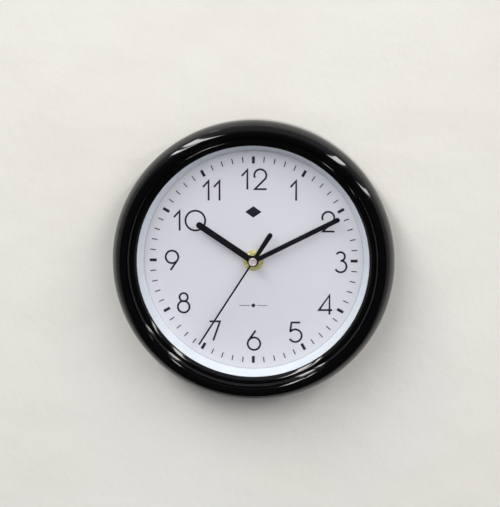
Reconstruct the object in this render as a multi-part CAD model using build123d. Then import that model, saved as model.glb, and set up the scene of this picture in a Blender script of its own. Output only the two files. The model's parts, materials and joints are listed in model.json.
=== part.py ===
"""Round wall clock with a moulded ring, a domed lens and a battery quartz movement.

The clock stands in its own frame: +Z is up (twelve o'clock), the front faces -Y, the wall is the
plane Y = 0 and the hands turn about the Y axis. Every piece is drawn as seen from the front, with
x to the right, y up and z forward from the wall, and save() stands it upright. All in millimetres.
"""

from build123d import *
from math import atan2, cos, degrees, radians, sin
import os

# ---------------------------------------------------------------- driving dimensions
OUTER_R = 112.5            # outside of the ring
DEPTH = 39.5               # wall to the crest of the ring
SIDE_WALL = 2.2            # moulded side wall of the ring
LIP_R = 92.2               # inner edge of the ring's lip
DIAL_EDGE_R = 88.3         # where the white inner ring meets the dial
INSERT_R = 95.6            # lens, inner ring and dial plate
BORE_R = 95.9              # bore of the ring that holds them

BACK_REAR = 2.0            # rear face of the back shell, forward of the wall
BACK_FRONT = 4.0
PLATE_REAR = 18.2          # dial plate
PLATE_FRONT = 19.8
DIAL_FRONT = 20.0          # face of the printed sheet
LENS_REAR = 30.2           # flat rim of the lens
LENS_THICK = 1.6
LENS_RISE = 6.0            # height of the dome above its rim
DOME_EDGE_R = LIP_R - 0.2

MOVEMENT_SIZE = 56.0       # square movement case
MOVEMENT_REAR = 2.4
MOVEMENT_FRONT = 17.6
CASE_WALL = 1.2
COVER_FRONT = MOVEMENT_REAR + CASE_WALL
CHAMBER_FRONT = MOVEMENT_FRONT - CASE_WALL
BAY_TOP = -11.8            # the battery bay fills the case below this height
CHAMBER_BOTTOM = BAY_TOP + CASE_WALL

BATTERY_R = 7.25
BATTERY_Y = -19.3
BATTERY_F = 9.8
BATTERY_NUB_END = 26.25    # the positive end is on the right
BATTERY_LENGTH = 50.5
NUB_LENGTH = 1.2

HOUR_ANGLE = 303.8         # clockwise from twelve
MINUTE_ANGLE = 63.4
SECOND_ANGLE = 212.8
HOUR_LENGTH = 54.0
MINUTE_LENGTH = 76.7
SECOND_LENGTH = 79.6
SECOND_TAIL = 27.2
HOUR_WIDTH = 5.1
MINUTE_WIDTH = 3.8
SECOND_WIDTH = 1.4

HOUR_REAR = 25.5           # rear face of each hand, forward of the wall
MINUTE_REAR = 27.6
SECOND_REAR = 29.7
HAND_THICK = 0.5
SECOND_THICK = 0.3

STEM_R = 4.0               # threaded stem of the movement
STEM_BORE = 2.53
STEM_END = 24.4
HOUR_TUBE_R = 2.45
HOUR_TUBE_BORE = 1.63
CANNON_R = 1.55
CANNON_BORE = 1.03
CENTRE_TUBE_R = 0.95
CENTRE_TUBE_BORE = 0.57
ARBOR_R = 0.5
PIVOT_R = 0.35
PIVOT_CLEAR = 0.05
SETTING_R = 0.9            # arbor of the setting knob
MOTION_STUD_R = 0.8        # fixed stud that the motion wheel turns on
FIT = 0.01                 # gap round a pressed or screwed fit

# ---------------------------------------------------------------- wheel train
FINE = 0.25                # module of the running train
THIRD = 0.25 * 72 / 68     # module of the 60/8 pair, which shares its centres with the 64/8 pair
COARSE = 0.4               # module of the motion work
WHEEL_TOOTH = (0.85, 1.2, (0.95, 0.64, 0.34))
PINION_TOOTH = (0.75, 1.25, (0.52, 0.56, 0.34))


def polar(distance, angle, start=(0.0, 0.0)):
    """The point at a distance and an anticlockwise angle from start."""
    return (start[0] + distance * cos(radians(angle)), start[1] + distance * sin(radians(angle)))


CENTRE_AT = (0.0, 0.0)
THIRD_AT = polar(FINE * (64 + 8) / 2, 190)
INTERMEDIATE_AT = polar(FINE * (60 + 10) / 2, 60)
ROTOR_AT = polar(FINE * (40 + 8) / 2, 40, INTERMEDIATE_AT)
MOTION_AT = polar(COARSE * (30 + 10) / 2, 340)
SETTING_AT = polar(COARSE * (30 + 10) / 2, 350, MOTION_AT)

# rear and front face of each wheel, forward of the wall
ROTOR_PINION = (10.0, 11.4)
INTERMEDIATE_WHEEL = (10.3, 11.1)
INTERMEDIATE_PINION = (8.3, 9.7)
SECOND_WHEEL = (8.6, 9.4)
SECOND_PINION = (10.1, 11.3)
THIRD_WHEEL = (10.3, 11.1)
THIRD_PINION = (11.9, 13.3)
CENTRE_WHEEL = (12.2, 13.0)
CANNON_PINION = (13.5, 14.9)
MOTION_WHEEL = (13.8, 14.6)
MOTION_PINION = (14.6, 16.1)
HOUR_WHEEL = (15.2, 15.9)
SETTING_PINION = (13.6, 14.9)
BRIDGE = (6.4, 7.4)
BOARD = (6.6, 7.4)
STATOR = (12.4, 13.2)
MAGNET = (11.9, 13.7)

# ---------------------------------------------------------------- hanging and fastening
KEYHOLE_Y = 70.0           # centre of the round end of the keyhole
KEYHOLE_R = 5.0
SLOT_R = 2.3
SLOT_TOP_Y = 80.0          # centre of the slot's closed end
WELL = 76.0                # square opening in the back for the movement
WELL_CORNER = 10.0
WELL_WALL = 1.6
SCREW_CIRCLE_R = 104.8
SCREW_COUNT = 4
SCREW_R = 1.5
SCREW_HEAD_R = 2.8
BOSS_R = 3.6


# ---------------------------------------------------------------- drawing helpers
def save(name, shape):
    """Stand a piece upright, with its front to -Y, and write it."""
    placed = Plane.XZ.location * shape
    placed.label = name
    export_step(placed, f"parts/{name}.step")


def outline(start, *steps):
    """A closed face: a step is a point for a line, or (middle, end) for an arc."""
    edges = []
    here = start
    for step in steps:
        if isinstance(step[0], tuple):
            edges.append(ThreePointArc(here, step[0], step[1]))
            here = step[1]
        else:
            edges.append(Line(here, step))
            here = step
    edges.append(Line(here, start))
    return make_face(edges)


def turned(start, *steps):
    """A solid of revolution about the hand axis from an outline of (radius, height) steps."""
    return revolve(Plane.XZ.location * outline(start, *steps), Axis.Z)


def dome_height(edge, rise, radius):
    """Height above its edge of a shallow spherical dome, at a radius from its axis."""
    ball = (edge * edge + rise * rise) / (2 * rise)
    return (ball * ball - radius * radius) ** 0.5 - (ball - rise)


def slab(face, rear, front):
    """A flat face given a thickness, from rear to front."""
    return Pos(0, 0, rear) * extrude(face, amount=front - rear)


def disc(radius, rear, front, at=(0.0, 0.0)):
    return slab(Pos(at[0], at[1]) * Circle(radius), rear, front)


def tube(radius, bore, rear, front, at=(0.0, 0.0)):
    return slab(Pos(at[0], at[1]) * (Circle(radius) - Circle(bore)), rear, front)


def block(x, y, z):
    """A box from its (low, high) pairs."""
    middle = Pos((x[0] + x[1]) / 2, (y[0] + y[1]) / 2, (z[0] + z[1]) / 2)
    return middle * Box(x[1] - x[0], y[1] - y[0], z[1] - z[0])


def clockwise(face, angle):
    """Turn a face that points to twelve round to a clock angle."""
    return Rot(0, 0, -angle) * face


def joined(*shapes):
    """One group of separate solids."""
    return Compound(children=[solid for shape in shapes for solid in shape.solids()])


# ---------------------------------------------------------------- toothed wheels
def gear_outline(teeth, module, tooth, first):
    """A toothed outline with straight flanks; first is the angle of one tooth's middle."""
    addendum, dedendum, halves = tooth
    pitch_r = teeth * module / 2
    levels = (pitch_r - dedendum * module, pitch_r, pitch_r + addendum * module)
    flank = list(zip(levels, halves))
    points = []
    for number in range(teeth):
        middle = radians(first + 360 / teeth * number)
        for side, steps in ((-1, flank), (1, flank[::-1])):
            for radius, half in steps:
                turn = middle + side * half * module / radius
                points.append((radius * cos(turn), radius * sin(turn)))
    return Polygon(*points, align=None)


def gear(teeth, module, tooth, first, span, at, bore=0.0):
    face = gear_outline(teeth, module, tooth, first)
    if bore:
        face = face - Circle(bore)
    return slab(Pos(at[0], at[1]) * face, *span)


def mesh_angle(teeth, first, at, other_teeth, other_at):
    """The tooth angle that sets a second gear's gap on the first gear's tooth."""
    line = degrees(atan2(other_at[1] - at[1], other_at[0] - at[0]))
    return line + 180 - teeth / other_teeth * (first - line) - 180 / other_teeth


def crossed_wheel(teeth, module, first, span, at, bore, hub_r, windows):
    """A wheel with a thin web, pierced by round windows."""
    pitch_r = teeth * module / 2
    solid = gear(teeth, module, WHEEL_TOOTH, first, span, at, bore)
    reach = (hub_r + pitch_r - 1.2) / 2
    hole_r = min(reach - hub_r, reach * sin(radians(180 / windows))) - 0.35
    for number in range(windows):
        solid -= disc(hole_r, span[0] - 1, span[1] + 1, polar(reach, 360 / windows * number, at))
    return solid


# ---------------------------------------------------------------- ring, lens and dial
ROLL_R = 7.0
ROLL = (102.5, DEPTH - ROLL_R)     # centre of the main roll, in radius and height
SHOULDER_TURN = 38.0               # how far the shoulder curves in from the side wall, in degrees
TURN_COS = cos(radians(SHOULDER_TURN))
SHOULDER_R = (OUTER_R - ROLL[0] - ROLL_R * TURN_COS) / (1 - TURN_COS)
SHOULDER = polar(ROLL_R - SHOULDER_R, SHOULDER_TURN, ROLL)
GROOVE = 0.3                       # half width and depth of the line between roll and shoulder
BEAD_R = 4.8                       # the lip's bead: long and gentle towards the dial,
BEAD = (96.3, 29.65)
BEAD_EDGE_R = 1.5                  # and tighter on its outside
RIB_R = BORE_R + 2.0               # outside of the wall round the lens and the dial
RIB_REAR = 17.6
RIM_EDGE = 0.6                     # rounding of the ring's rear edge
SCREW_RIB_HALF = 0.8               # half thickness of the ribs that brace the screw bosses
SCREW_HOLE_END = 15.0


def front_bezel():
    """The black ring: side wall, rounded shoulder, fine groove, main roll, cove and beaded lip."""
    seat = LENS_REAR + LENS_THICK
    groove_turn = degrees(GROOVE / SHOULDER_R)
    bead_edge = (BEAD[0], BEAD[1] + BEAD_R - BEAD_EDGE_R)
    body = turned(
        (BORE_R, RIB_REAR),
        (BORE_R, seat),
        (LIP_R, seat),
        (LIP_R, seat + 0.5),
        polar(BEAD_R, 139, BEAD),
        (polar(BEAD_R, 115, BEAD), polar(BEAD_R, 90, BEAD)),
        (polar(BEAD_EDGE_R, 68, bead_edge), polar(BEAD_EDGE_R, 45, bead_edge)),
        (97.7, 33.9),
        ((99.2, 35.1), (99.9, 37.3)),
        polar(ROLL_R, 110, ROLL),
        (polar(ROLL_R, 90, ROLL), polar(ROLL_R, SHOULDER_TURN + degrees(GROOVE / ROLL_R), ROLL)),
        polar(SHOULDER_R - GROOVE, SHOULDER_TURN, SHOULDER),
        polar(SHOULDER_R, SHOULDER_TURN - groove_turn, SHOULDER),
        (polar(SHOULDER_R, SHOULDER_TURN / 2, SHOULDER), (OUTER_R, SHOULDER[1])),
        (OUTER_R, RIM_EDGE),
        ((OUTER_R - 0.3 * RIM_EDGE, 0.3 * RIM_EDGE), (OUTER_R - RIM_EDGE, 0)),
        (OUTER_R - SIDE_WALL, 0),
        (BORE_R, 0),
    )
    inside = OUTER_R - SIDE_WALL
    inner_r = SHOULDER_R - SIDE_WALL
    bend = (polar(inner_r, SHOULDER_TURN / 2, SHOULDER), polar(inner_r, SHOULDER_TURN, SHOULDER))
    channel = turned(
        (BORE_R - 1, -1),
        (inside, -1),
        (inside, SHOULDER[1]),
        bend,
        (105.3, 36.0),
        ((103.2, 37.4), (101.5, 36.6)),
        (99.8, 33.6),
        (RIB_R, 31.2),
        (RIB_R, RIB_REAR),
        (BORE_R - 1, RIB_REAR),
    )
    for number in range(SCREW_COUNT):
        at = polar(SCREW_CIRCLE_R, 45 + 90 * number)
        rib_y = (-SCREW_RIB_HALF, SCREW_RIB_HALF)
        rib = block((SCREW_CIRCLE_R + 2, inside + 1), rib_y, (BACK_FRONT + 4, DEPTH))
        rib = Rot(0, 0, 45 + 90 * number) * rib
        channel -= disc(BOSS_R, BACK_FRONT, DEPTH, at)
        channel -= rib
        body -= disc(SCREW_R + FIT, BACK_FRONT - 1, SCREW_HOLE_END, at)
    return body - channel


def lens():
    """A clear domed lens with a flat rim under the ring's lip."""
    edge = DOME_EDGE_R
    rear = LENS_REAR
    front = LENS_REAR + LENS_THICK
    half_way = edge / 2
    bow = dome_height(edge, LENS_RISE, half_way)
    return turned(
        (0, rear + LENS_RISE),
        ((half_way, rear + bow), (edge, rear)),
        (INSERT_R, rear),
        (INSERT_R, front),
        (edge, front),
        ((half_way, front + bow), (0, front + LENS_RISE)),
    )


def rehaut_ring():
    """The white cone between the dial and the lens, with a flange under the lens rim."""
    return turned(
        (DIAL_EDGE_R, DIAL_FRONT),
        (LIP_R + 0.4, LENS_REAR),
        (INSERT_R, LENS_REAR),
        (INSERT_R, LENS_REAR - 1.4),
        (LIP_R + 1.0, LENS_REAR - 1.4),
        (DIAL_EDGE_R + 1.5, DIAL_FRONT),
    )


def dial_plate():
    """The moulded plate that carries the movement, with stiffening rings on its rear."""
    plate = tube(INSERT_R, STEM_R + 0.2, PLATE_REAR, PLATE_FRONT)
    for radius in (60.0, 85.0):
        plate += tube(radius, radius - 1.2, PLATE_REAR - 2.0, PLATE_REAR)
    return plate


def back_shell():
    """The rear cover: a plate with a well for the movement, a dial support and a keyhole."""
    rim = OUTER_R - SIDE_WALL - 0.3
    plate = disc(rim, BACK_REAR, BACK_FRONT)
    plate += tube(rim, rim - 1.4, BACK_FRONT, BACK_FRONT + 4)
    plate += tube(INSERT_R - 0.6, INSERT_R - 2.4, BACK_FRONT, PLATE_REAR)
    opening = RectangleRounded(WELL, WELL, WELL_CORNER)
    skirt_size = WELL + 2 * WELL_WALL
    skirt = RectangleRounded(skirt_size, skirt_size, WELL_CORNER + WELL_WALL)
    plate += slab(skirt, BACK_REAR, PLATE_REAR)
    plate -= slab(opening, BACK_REAR - 1, PLATE_REAR + 1)
    for radius in (89.0, 91.0):
        plate -= tube(radius, radius - 0.8, BACK_REAR - 1, BACK_REAR + 0.5)
    keyhole = Pos(0, KEYHOLE_Y) * Circle(KEYHOLE_R)
    keyhole += Pos(0, SLOT_TOP_Y) * Circle(SLOT_R)
    keyhole += Pos(0, (KEYHOLE_Y + SLOT_TOP_Y) / 2) * Rectangle(2 * SLOT_R, SLOT_TOP_Y - KEYHOLE_Y)
    plate -= slab(keyhole, BACK_REAR - 1, BACK_FRONT + 1)
    for number in range(SCREW_COUNT):
        at = polar(SCREW_CIRCLE_R, 45 + 90 * number)
        plate -= disc(SCREW_R + 0.2, BACK_REAR - 1, BACK_FRONT + 1, at)
    return plate


def case_screws():
    """Pan-head self-tapping screws with a cross recess, driven from behind."""
    screws = []
    for number in range(SCREW_COUNT):
        at = polar(SCREW_CIRCLE_R, 45 + 90 * number)
        head = turned(
            (0, BACK_REAR),
            (SCREW_HEAD_R, BACK_REAR),
            (SCREW_HEAD_R, BACK_REAR - 0.7),
            ((1.4, BACK_REAR - 0.7 - dome_height(SCREW_HEAD_R, 1.0, 1.4)), (0, BACK_REAR - 1.7)),
        )
        for turn in (0, 90):
            head -= Rot(0, 0, turn) * block((-1.5, 1.5), (-0.35, 0.35), (0, BACK_REAR - 0.8))
        shank = turned((0, BACK_REAR), (SCREW_R, BACK_REAR), (SCREW_R, 12.0), (0.4, 14.0), (0, 14.0))
        screws.append(Pos(at[0], at[1]) * (head + shank))
    return joined(*screws)


# ---------------------------------------------------------------- movement case and fastening
def movement_square(inset=0.0):
    size = MOVEMENT_SIZE - 2 * inset
    return RectangleRounded(size, size, 3.0 - min(inset, 2.0))


def case_post(at, radius, rear, hole=0.0, hole_front=0.0):
    """A post on the inside of the case's front wall, with a blind pivot hole."""
    post = disc(radius, rear, CHAMBER_FRONT, at)
    if hole:
        post -= disc(hole, rear - 1, hole_front, at)
    return post


POST_R = 1.2
BRIDGE_POSTS = ((-18.6, -8.4), (-14.0, 9.0), (22.6, 4.0), (20.5, -8.4))
BRIDGE_POST_R = 1.4
STATOR_POSTS = ((-0.5, 16.5), (18.5, 16.5))
BOARD_POSTS = ((-23.5, 23.5), (-6.0, 23.5), (-21.0, 12.0))
TRAIN_END = 14.7           # front end of the train's arbors
PIVOT_END = TRAIN_END + 0.1
ROTOR_END = TRAIN_END + 0.2
SETTING_END = 15.9
# place, post radius, rear face of the post, arbor radius and the end of its hole
PIVOT_POSTS = (
    (THIRD_AT, POST_R, THIRD_PINION[1] + 0.3, PIVOT_R, PIVOT_END),
    (INTERMEDIATE_AT, POST_R, 13.4, PIVOT_R, PIVOT_END),
    (ROTOR_AT, POST_R, MAGNET[1] + 0.5, PIVOT_R, ROTOR_END + 0.1),
    (SETTING_AT, SETTING_R + 1.0, SETTING_PINION[1] + 0.4, SETTING_R, SETTING_END + 0.1),
)
STEM_FLANGE = (16.8, 17.3)
STEM_FLANGE_R = 5.4
STRIP = (6.2, 6.6)         # rear and front face of the contact strips


def movement_case():
    """The front half of the movement: chamber, battery bay, bridge posts and pivot posts."""
    half = MOVEMENT_SIZE / 2
    inner = half - CASE_WALL
    case = slab(movement_square(), MOVEMENT_REAR, MOVEMENT_FRONT)
    chamber = slab(movement_square(CASE_WALL), 0, CHAMBER_FRONT)
    case -= chamber & block((-half, half), (CHAMBER_BOTTOM, half), (0, CHAMBER_FRONT))
    bay = slab(movement_square(CASE_WALL), 0, BATTERY_F + BATTERY_R + 0.1)
    case -= bay & block((-half, half), (-half, BAY_TOP), (0, MOVEMENT_FRONT))
    case -= block((-half - 1, half + 1), (BAY_TOP, half + 1), (0, COVER_FRONT))
    for post in BRIDGE_POSTS:
        case += case_post(post, BRIDGE_POST_R, BRIDGE[1])
    for post in STATOR_POSTS:
        case += case_post(post, POST_R, STATOR[1])
    for post in BOARD_POSTS:
        case += case_post(post, POST_R, BOARD[1])
    for at, radius, rear, arbor, hole_front in PIVOT_POSTS:
        case += case_post(at, radius, rear, arbor + PIVOT_CLEAR, hole_front)
    case += disc(MOTION_STUD_R, MOTION_WHEEL[0] - 0.3, CHAMBER_FRONT, MOTION_AT)
    for side in (-1, 1):
        x = sorted((side * 25.1, side * inner))
        slot = (STRIP[0] - 0.1, STRIP[1] + 0.1)
        case -= block(x, (BAY_TOP - 1, CHAMBER_BOTTOM + 1), slot)
    case -= stem_envelope()
    return case


def stem_envelope():
    """The space in the case's front wall that the stem and its flange take up."""
    flange = disc(STEM_FLANGE_R, *STEM_FLANGE)
    return flange + disc(STEM_R, CHAMBER_FRONT, STEM_END + 1)


def threaded_stem():
    """The brass bush: a flange moulded into the case and a fine thread for the nut."""
    pitch = 0.75
    height = STEM_FLANGE[1] + 0.7
    steps = [(STEM_R, height)]
    while height + pitch < STEM_END - 0.3:
        steps.append((STEM_R - 0.3, height + pitch / 2))
        steps.append((STEM_R, height + pitch))
        height += pitch
    return turned(
        (STEM_BORE, CHAMBER_FRONT),
        (STEM_R, CHAMBER_FRONT),
        (STEM_R, STEM_FLANGE[0]),
        (STEM_FLANGE_R, STEM_FLANGE[0]),
        (STEM_FLANGE_R, STEM_FLANGE[1]),
        (STEM_R, STEM_FLANGE[1]),
        *steps,
        (STEM_R - 0.3, STEM_END),
        (STEM_BORE, STEM_END),
    )


def movement_cover():
    """The rear cover of the wheel chamber, with a lip and a sunk well for the setting knob."""
    half = MOVEMENT_SIZE / 2
    above_bay = block((-half, half), (BAY_TOP, half), (0, 20))
    cover = slab(movement_square(), MOVEMENT_REAR, COVER_FRONT) & above_bay
    lip_face = movement_square(CASE_WALL + 0.1) - movement_square(CASE_WALL + 1.0)
    lip = slab(lip_face, COVER_FRONT, COVER_FRONT + 1.4)
    cover += lip & block((-24.6, 24.6), (CHAMBER_BOTTOM + 0.3, half), (0, 20))
    cover += disc(6.4, MOVEMENT_REAR, 5.2, SETTING_AT)
    cover -= disc(5.6, MOVEMENT_REAR - 1, 4.2, SETTING_AT)
    cover -= disc(SETTING_R + PIVOT_CLEAR, 0, 6, SETTING_AT)
    for x in (-20.0, -14.0, -8.0):
        cover -= block((x - 0.6, x + 0.6), (12, 22), (0, MOVEMENT_REAR + 0.4))
    return cover


def rubber_washer():
    """A soft gasket between the movement and the dial plate."""
    return tube(9.5, STEM_R + 0.1, MOVEMENT_FRONT, PLATE_REAR)


def brass_washer():
    return tube(8.3, STEM_R + 0.1, DIAL_FRONT, DIAL_FRONT + 0.5)


def hex_nut():
    """A thin hexagon nut with chamfered corners."""
    rear = DIAL_FRONT + 0.5
    front = rear + 2.0
    flats = RegularPolygon(12.6 / 2, 6, major_radius=False)
    nut = slab(Rot(0, 0, 12) * flats, rear, front)
    crown = turned((0, rear), (7.4, rear), (7.4, front - 0.5), (6.3, front), (0, front))
    return (nut & crown) - disc(STEM_R + 0.02, rear - 1, front + 1)


# ---------------------------------------------------------------- movement electrics
def train_bridge():
    """The plate that holds the rear pivots of the train."""
    corners = (
        (-20.4, -10.1),
        (24.2, -10.1),
        (24.4, 5.6),
        (13.0, 15.6),
        (6.0, 15.6),
        (-4.0, 9.0),
        (-15.6, 10.8),
    )
    plate = slab(fillet(Polygon(*corners, align=None).vertices(), 1.5), *BRIDGE)
    holes = [
        (CENTRE_AT, ARBOR_R),
        (THIRD_AT, PIVOT_R),
        (INTERMEDIATE_AT, PIVOT_R),
        (ROTOR_AT, PIVOT_R),
        (SETTING_AT, SETTING_R),
    ]
    for at, radius in holes:
        plate -= disc(radius + PIVOT_CLEAR, 0, 10, at)
    return plate


def circuit_board():
    corners = ((-25.6, 10.0), (-16.5, 12.0), (-3.0, 12.0), (-3.0, 25.4), (-25.6, 25.4))
    board = Polygon(*corners, align=None)
    return slab(fillet(board.vertices(), 0.8), *BOARD)


def timing_chip():
    """The blob of resin over the timing chip."""
    blob = turned((0, 0), (3.0, 0), ((1.5, dome_height(3.0, 1.1, 1.5)), (0, 1.1)))
    return Pos(-17.5, 18.5, BOARD[0]) * Rot(180, 0, 0) * blob


def quartz_crystal():
    """The quartz crystal's small can, lying along the board."""
    radius = 0.95
    return Pos(-8.0, 16.0, BOARD[0] - radius) * Rot(0, 90, 0) * Cylinder(radius, 6.2)


def stator():
    """The soft iron stator: a bored plate round the rotor and two legs to the coil core."""
    middle = ROTOR_AT[0]
    low = ROTOR_AT[1] - 2.5
    plate = Pos(middle, low + 2.75) * Rectangle(22, 5.5)
    for side in (-1, 1):
        plate += Pos(middle + side * 9.5, low + 7.6) * Rectangle(3, 15.2)
    plate -= Pos(*ROTOR_AT) * Circle(2.35)
    for angle in (60, 240):
        plate -= Pos(*polar(2.35, angle, ROTOR_AT)) * Circle(0.3)
    return slab(plate, *STATOR)


COIL_Y = 21.4
COIL_X = (1.4, 16.6)
CORE = (STATOR[1], STATOR[1] + 0.8)


def coil_core():
    return block((ROTOR_AT[0] - 11, ROTOR_AT[0] + 11), (COIL_Y - 1.2, COIL_Y + 1.2), CORE)


def coil_bobbin():
    middle = (CORE[0] + CORE[1]) / 2
    y = (COIL_Y - 1.6, COIL_Y + 1.6)
    bobbin = block(COIL_X, y, (middle - 0.8, middle + 0.8))
    for x in (COIL_X[0], COIL_X[1] - 0.8):
        bobbin += block((x, x + 0.8), (COIL_Y - 2.7, COIL_Y + 2.7), (middle - 2.6, middle + 2.6))
    return bobbin - coil_core()


def coil_winding():
    middle = (CORE[0] + CORE[1]) / 2
    length = COIL_X[1] - COIL_X[0] - 1.6
    roll = Pos((COIL_X[0] + COIL_X[1]) / 2, COIL_Y, middle) * Rot(0, 90, 0) * Cylinder(2.3, length)
    return roll - block(COIL_X, (COIL_Y - 1.6, COIL_Y + 1.6), (middle - 0.8, middle + 0.8))


CONTACT = 0.4              # thickness of the contact leaf


def positive_contact():
    """A flat plate at the battery's button, with a strip to the board."""
    plate = block((BATTERY_NUB_END, 26.8), (-24.8, BAY_TOP - 0.3), (4.0, 15.5))
    strip = block((25.4, 26.8), (BAY_TOP - 1.5, 18.0), STRIP)
    strip += block((-5.0, 26.8), (16.6, 18.0), STRIP)
    return plate + strip


def negative_contact():
    """A bowed leaf against the battery's flat end, with a strip to the board."""
    end = BATTERY_NUB_END - BATTERY_LENGTH - 0.05
    leaf = outline(
        (-26.8, -25.0),
        (-26.4, -25.0),
        ((end, BATTERY_Y), (-26.4, -13.6)),
        (-26.8, -13.6),
        ((end - CONTACT, BATTERY_Y), (-26.8, -24.95)),
    )
    spring = slab(leaf, 5.5, 14.0)
    strip = block((-26.8, -25.4), (-14.0, 12.2), STRIP)
    strip += block((-26.8, -23.6), (10.8, 12.2), STRIP)
    return spring + strip


def battery_can():
    """The AA cell's can, flat at the negative end."""
    start = BATTERY_NUB_END - BATTERY_LENGTH
    length = BATTERY_LENGTH - NUB_LENGTH
    can = Pos(start + length / 2, BATTERY_Y, BATTERY_F) * Rot(0, 90, 0) * Cylinder(BATTERY_R, length)
    return chamfer(can.edges(), 0.4)


def battery_button():
    start = BATTERY_NUB_END - NUB_LENGTH
    button = Pos(start + NUB_LENGTH / 2, BATTERY_Y, BATTERY_F) * Rot(0, 90, 0) * Cylinder(2.6, NUB_LENGTH)
    return chamfer(button.edges().group_by(Axis.X)[-1], 0.3)


# ---------------------------------------------------------------- running train
def rotor_magnet():
    return tube(2.0, PIVOT_R + 0.02, *MAGNET, ROTOR_AT)


def rotor_pinion(first):
    """The rotor's arbor with its eight-leaf pinion."""
    pinion = gear(8, FINE, PINION_TOOTH, first, ROTOR_PINION, ROTOR_AT)
    return pinion + disc(PIVOT_R, BRIDGE[0] + 0.1, ROTOR_END, ROTOR_AT)


def intermediate_wheel(first):
    return crossed_wheel(40, FINE, first, INTERMEDIATE_WHEEL, INTERMEDIATE_AT, PIVOT_R + 0.02, 1.2, 5)


def intermediate_pinion(first):
    pinion = gear(10, FINE, PINION_TOOTH, first, INTERMEDIATE_PINION, INTERMEDIATE_AT)
    return pinion + disc(PIVOT_R, BRIDGE[0] + 0.1, TRAIN_END, INTERMEDIATE_AT)


def second_wheel(first):
    return crossed_wheel(60, FINE, first, SECOND_WHEEL, CENTRE_AT, ARBOR_R + 0.02, 1.5, 6)


def second_arbor(first):
    """The long arbor that runs out through the stem to the second hand, with its pinion."""
    pinion = gear(8, FINE, PINION_TOOTH, first, SECOND_PINION, CENTRE_AT)
    return pinion + disc(ARBOR_R, BRIDGE[0] + 0.1, SECOND_REAR + 1.0)


def third_wheel(first):
    return crossed_wheel(60, THIRD, first, THIRD_WHEEL, THIRD_AT, PIVOT_R + 0.02, 1.5, 6)


def third_pinion(first):
    pinion = gear(8, FINE, PINION_TOOTH, first, THIRD_PINION, THIRD_AT)
    return pinion + disc(PIVOT_R, BRIDGE[0] + 0.1, TRAIN_END, THIRD_AT)


def centre_wheel(first):
    """The centre wheel and the tube that drives the cannon pinion by friction."""
    wheel = crossed_wheel(64, FINE, first, CENTRE_WHEEL, CENTRE_AT, CENTRE_TUBE_BORE, 1.7, 6)
    return wheel + tube(CENTRE_TUBE_R, CENTRE_TUBE_BORE, 11.6, 21.5)


# ---------------------------------------------------------------- motion work and setting
def cannon_pinion(first):
    """The ten-leaf pinion and the tube that carries the minute hand."""
    pinion = gear(10, COARSE, PINION_TOOTH, first, CANNON_PINION, CENTRE_AT, CANNON_BORE)
    return pinion + tube(CANNON_R, CANNON_BORE, CANNON_PINION[0], MINUTE_REAR + HAND_THICK + 0.3)


def motion_wheel(wheel_first, pinion_first):
    """The moulded wheel and pinion that step the minute down to the hour."""
    bore = MOTION_STUD_R + 0.06
    wheel = gear(30, COARSE, WHEEL_TOOTH, wheel_first, MOTION_WHEEL, MOTION_AT, bore)
    return wheel + gear(8, COARSE, PINION_TOOTH, pinion_first, MOTION_PINION, MOTION_AT, bore)


def hour_wheel(first):
    """The hour wheel and the tube that carries the hour hand."""
    wheel = gear(32, COARSE, WHEEL_TOOTH, first, HOUR_WHEEL, CENTRE_AT, HOUR_TUBE_BORE)
    return wheel + tube(HOUR_TUBE_R, HOUR_TUBE_BORE, HOUR_WHEEL[0], HOUR_REAR + HAND_THICK + 0.3)


KNOB_SEAT = 2.6            # rear end of the setting arbor, inside the knob


def setting_arbor(first):
    pinion = gear(10, COARSE, PINION_TOOTH, first, SETTING_PINION, SETTING_AT)
    return pinion + disc(SETTING_R, KNOB_SEAT, SETTING_END, SETTING_AT)


def setting_knob():
    """The fluted thumb knob on the rear."""
    knob = disc(5.0, 1.2, 3.9, SETTING_AT)
    knob -= disc(3.4, 0, 2.0, SETTING_AT)
    for number in range(20):
        knob -= disc(0.35, 0, 5, polar(5.1, 18 * number, SETTING_AT))
    return knob - disc(SETTING_R + 0.02, KNOB_SEAT, 6, SETTING_AT)


# ---------------------------------------------------------------- hands
def hand_outline(length, width, hub_r, bore):
    """A straight baton with a round tip and a round hub, pointing to twelve."""
    face = Pos(0, (length - width / 2) / 2) * Rectangle(width, length - width / 2)
    face += Pos(0, length - width / 2) * Circle(width / 2)
    face += Circle(hub_r)
    return face - Circle(bore)


def hour_hand():
    face = hand_outline(HOUR_LENGTH, HOUR_WIDTH, 4.6, 3.0)
    return slab(clockwise(face, HOUR_ANGLE), HOUR_REAR, HOUR_REAR + HAND_THICK)


def minute_hand():
    face = hand_outline(MINUTE_LENGTH, MINUTE_WIDTH, 4.2, 2.2)
    return slab(clockwise(face, MINUTE_ANGLE), MINUTE_REAR, MINUTE_REAR + HAND_THICK)


def second_hand():
    """A thin needle with a widening, round-ended counterweight."""
    near = 1.5
    far = 2.05
    tail_centre = -(SECOND_TAIL - far)
    needle = Pos(0, SECOND_LENGTH / 2) * Rectangle(SECOND_WIDTH, SECOND_LENGTH)
    tail = outline((near, 0), (far, tail_centre), ((0, -SECOND_TAIL), (-far, tail_centre)), (-near, 0))
    face = needle + tail + Circle(2.9) - Circle(ARBOR_R + 0.5)
    return slab(clockwise(face, SECOND_ANGLE), SECOND_REAR, SECOND_REAR + SECOND_THICK)


def hour_bush():
    return tube(3.0, HOUR_TUBE_R + FIT, HOUR_REAR - 0.6, HOUR_REAR + HAND_THICK + 0.3)


def minute_bush():
    return tube(2.2, CANNON_R + FIT, MINUTE_REAR - 0.7, MINUTE_REAR + HAND_THICK + 0.3)


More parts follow.
